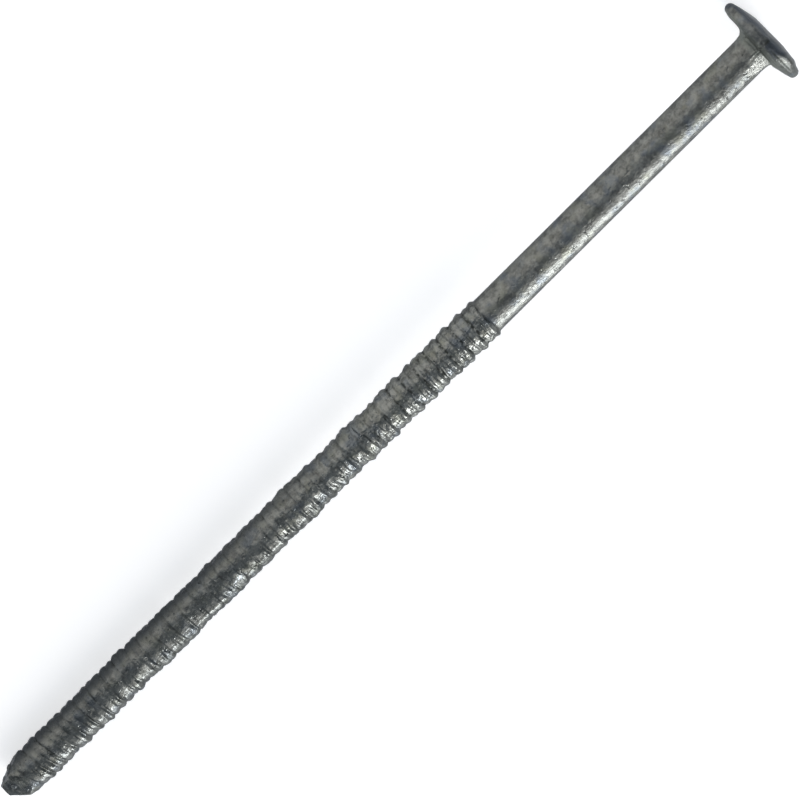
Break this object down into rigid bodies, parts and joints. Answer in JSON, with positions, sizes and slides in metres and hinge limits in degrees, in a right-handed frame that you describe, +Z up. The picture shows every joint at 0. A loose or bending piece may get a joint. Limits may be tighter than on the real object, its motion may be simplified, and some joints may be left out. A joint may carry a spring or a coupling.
{
  "type": "ring shank spike",
  "caption": "Long galvanised ring-shank spike: flat round head, plain upper shank, rolled rings along the lower part and a blunt pinched point, for fixing heavy timber.",
  "frame": {"origin": "centre of the shank in the plane of the head's underside", "axes": "+X along the shank towards the head, +Z up, with the spike lying on its side; +Y is the side that the head and the pinched end lean to"},
  "size_m": [0.2583, 0.0235, 0.0234],
  "materials": {
    "steel": "bare drawn steel, wholly hidden under the zinc",
    "zinc": "hot-dip galvanised, dull mid grey, mottled, lumpy on the rings"
  },
  "bodies": {
    "root": {"steel_spike": "steel", "zinc_coating": "zinc"}
  },
  "joints": []
}
